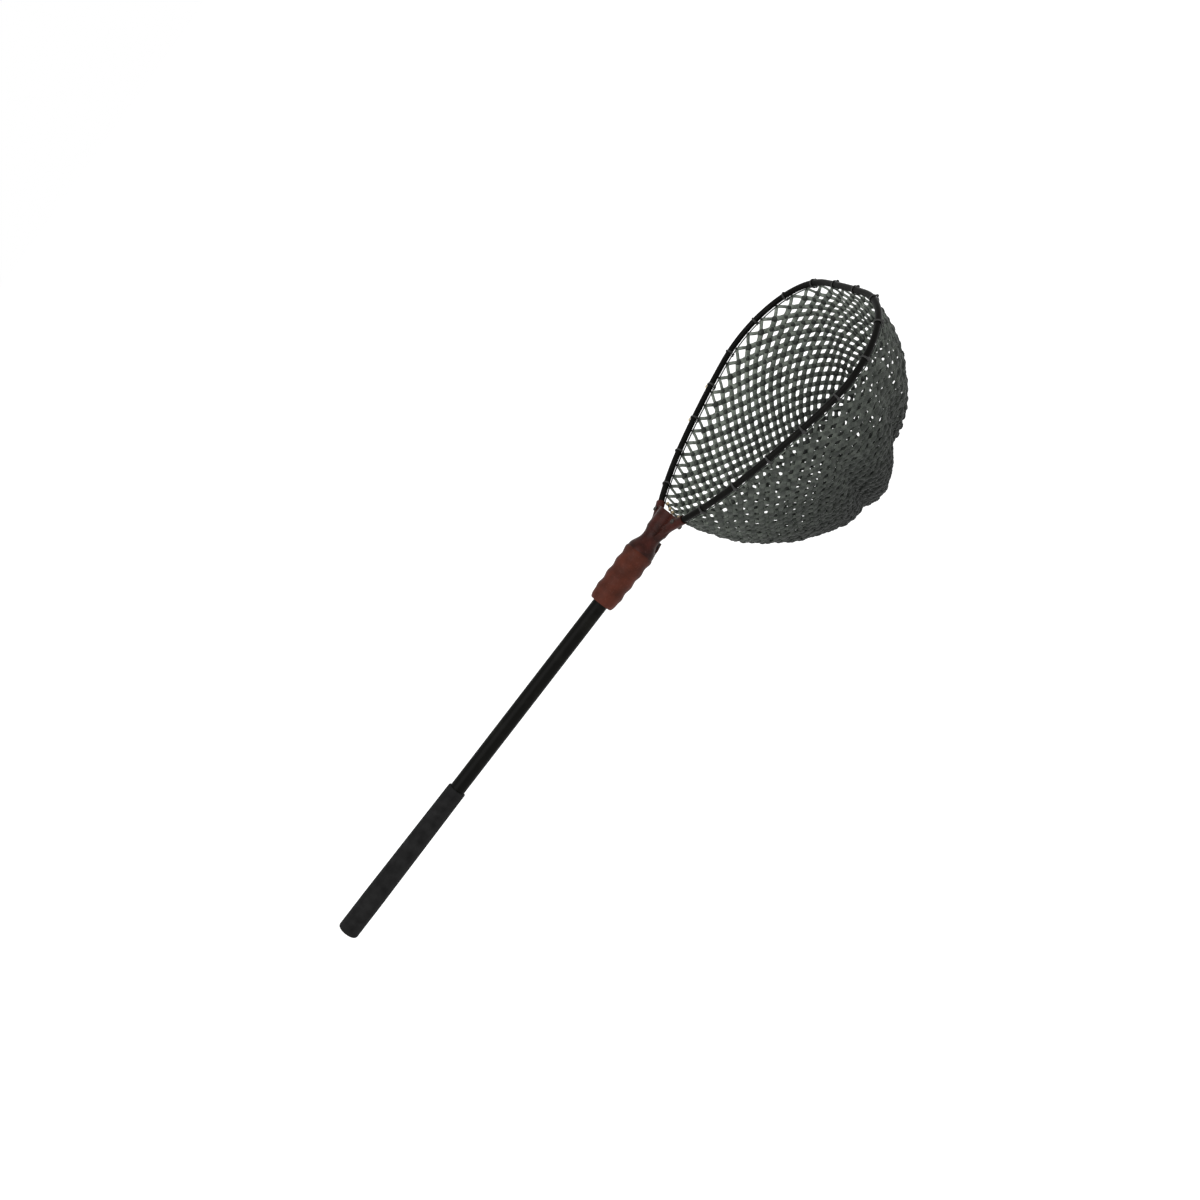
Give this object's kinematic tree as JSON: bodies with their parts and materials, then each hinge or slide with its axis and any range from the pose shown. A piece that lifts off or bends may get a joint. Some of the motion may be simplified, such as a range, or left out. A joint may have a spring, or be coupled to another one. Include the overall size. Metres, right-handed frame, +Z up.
{
  "type": "landing net",
  "caption": "Sliding-handle landing net: a black tube with rubber grip slides through a ridged grip and fan yoke that carries a pear-shaped hoop and a knotted net bag.",
  "frame": {"origin": "on the tube's axis, in the middle of the rear grip's straight stretch", "axes": "+X along the tube towards the hoop's tip, +Z up out of the net's mouth, +Y to the left looking along +X"},
  "size_m": [1.2747, 0.4008, 0.2893],
  "materials": {
    "black_tube": "satin black on aluminium",
    "charcoal_rubber": "matte",
    "black_nylon": "matte",
    "steel": "plated",
    "maroon_nylon": "satin",
    "maroon_rubber": "soft matte",
    "trigger_nylon": "satin",
    "netting": "knotted twine",
    "black_twine": "twisted twine",
    "pale_twine": "twisted twine"
  },
  "bodies": {
    "handle": {"pole_tube": "black_tube", "rear_grip": "charcoal_rubber", "butt_cap": "charcoal_rubber", "pole_plug": "black_nylon", "plug_pin": "steel"},
    "head": {"yoke": "maroon_nylon", "front_grip": "maroon_rubber", "rear_bush": "black_nylon", "front_bush": "black_nylon", "hoop": "black_tube", "hoop_screws": "steel", "hoop_nuts": "steel", "hoop_washers": "steel", "trigger_pin": "steel", "trigger_spring": "steel", "net_bag": "netting", "hanging_row": "netting", "rim_cord": "black_twine", "rim_ties": "pale_twine", "lacing": "black_twine"},
    "trigger": {"trigger": "trigger_nylon"}
  },
  "joints": [
    {"name": "handle_slide", "type": "slide", "parent": "handle", "child": "head", "axis": [1, 0, 0], "range_m": [-0.36, 0]},
    {"name": "trigger_pull", "type": "hinge", "parent": "head", "child": "trigger", "pos_m": [0.7317, 0, -0.0186], "axis": [0, 1, 0], "range_deg": [-4.5, 5], "stiffness_Nm_per_rad": 0.5, "deforming": ["trigger_spring"]}
  ]
}
